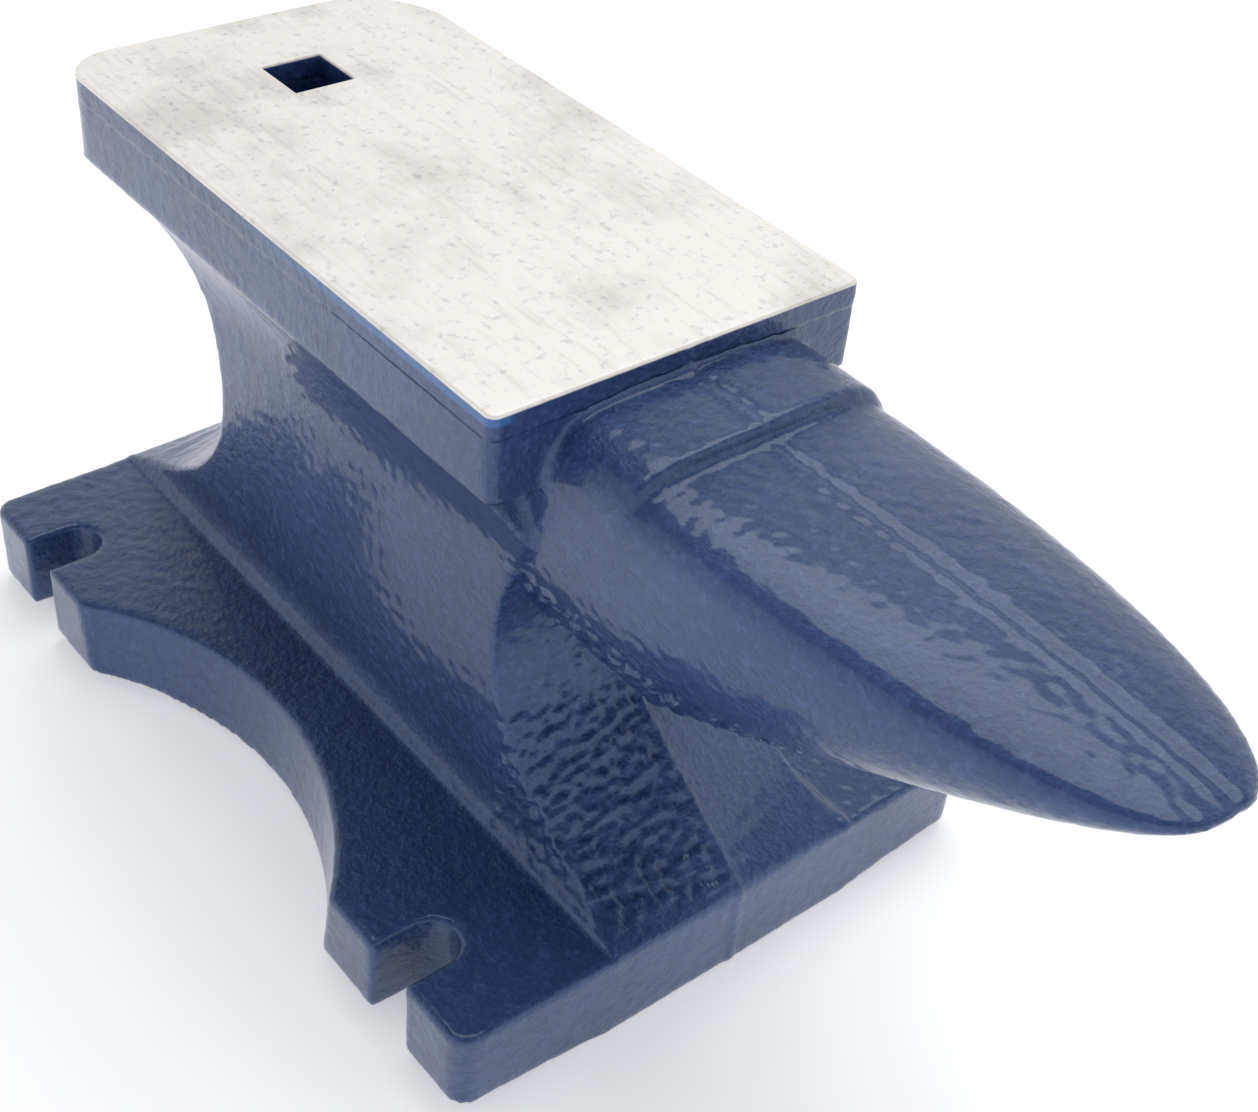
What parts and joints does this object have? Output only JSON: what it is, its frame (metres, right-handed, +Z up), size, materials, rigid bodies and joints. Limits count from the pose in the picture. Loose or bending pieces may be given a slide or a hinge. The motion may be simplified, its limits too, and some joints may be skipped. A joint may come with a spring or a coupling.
{
  "type": "single horn anvil",
  "caption": "Cast single horn anvil with a ground steel face, square hardy hole, cutting table, flat-topped horn and a notched, footed base.",
  "frame": {"origin": "middle of the base on the ground", "axes": "+X along the horn, +Z up, +Y to the horn's left"},
  "size_m": [0.3826, 0.179, 0.1767],
  "materials": {
    "blue_paint": "thick glossy dark blue paint over rough sand-cast metal",
    "ground_steel": "ground flat, with faint slanting grinding marks"
  },
  "bodies": {
    "root": {"base": "blue_paint", "waist": "blue_paint", "upper_body": "blue_paint", "face_plate": "ground_steel", "cutting_table": "blue_paint", "horn": "blue_paint"}
  },
  "joints": []
}
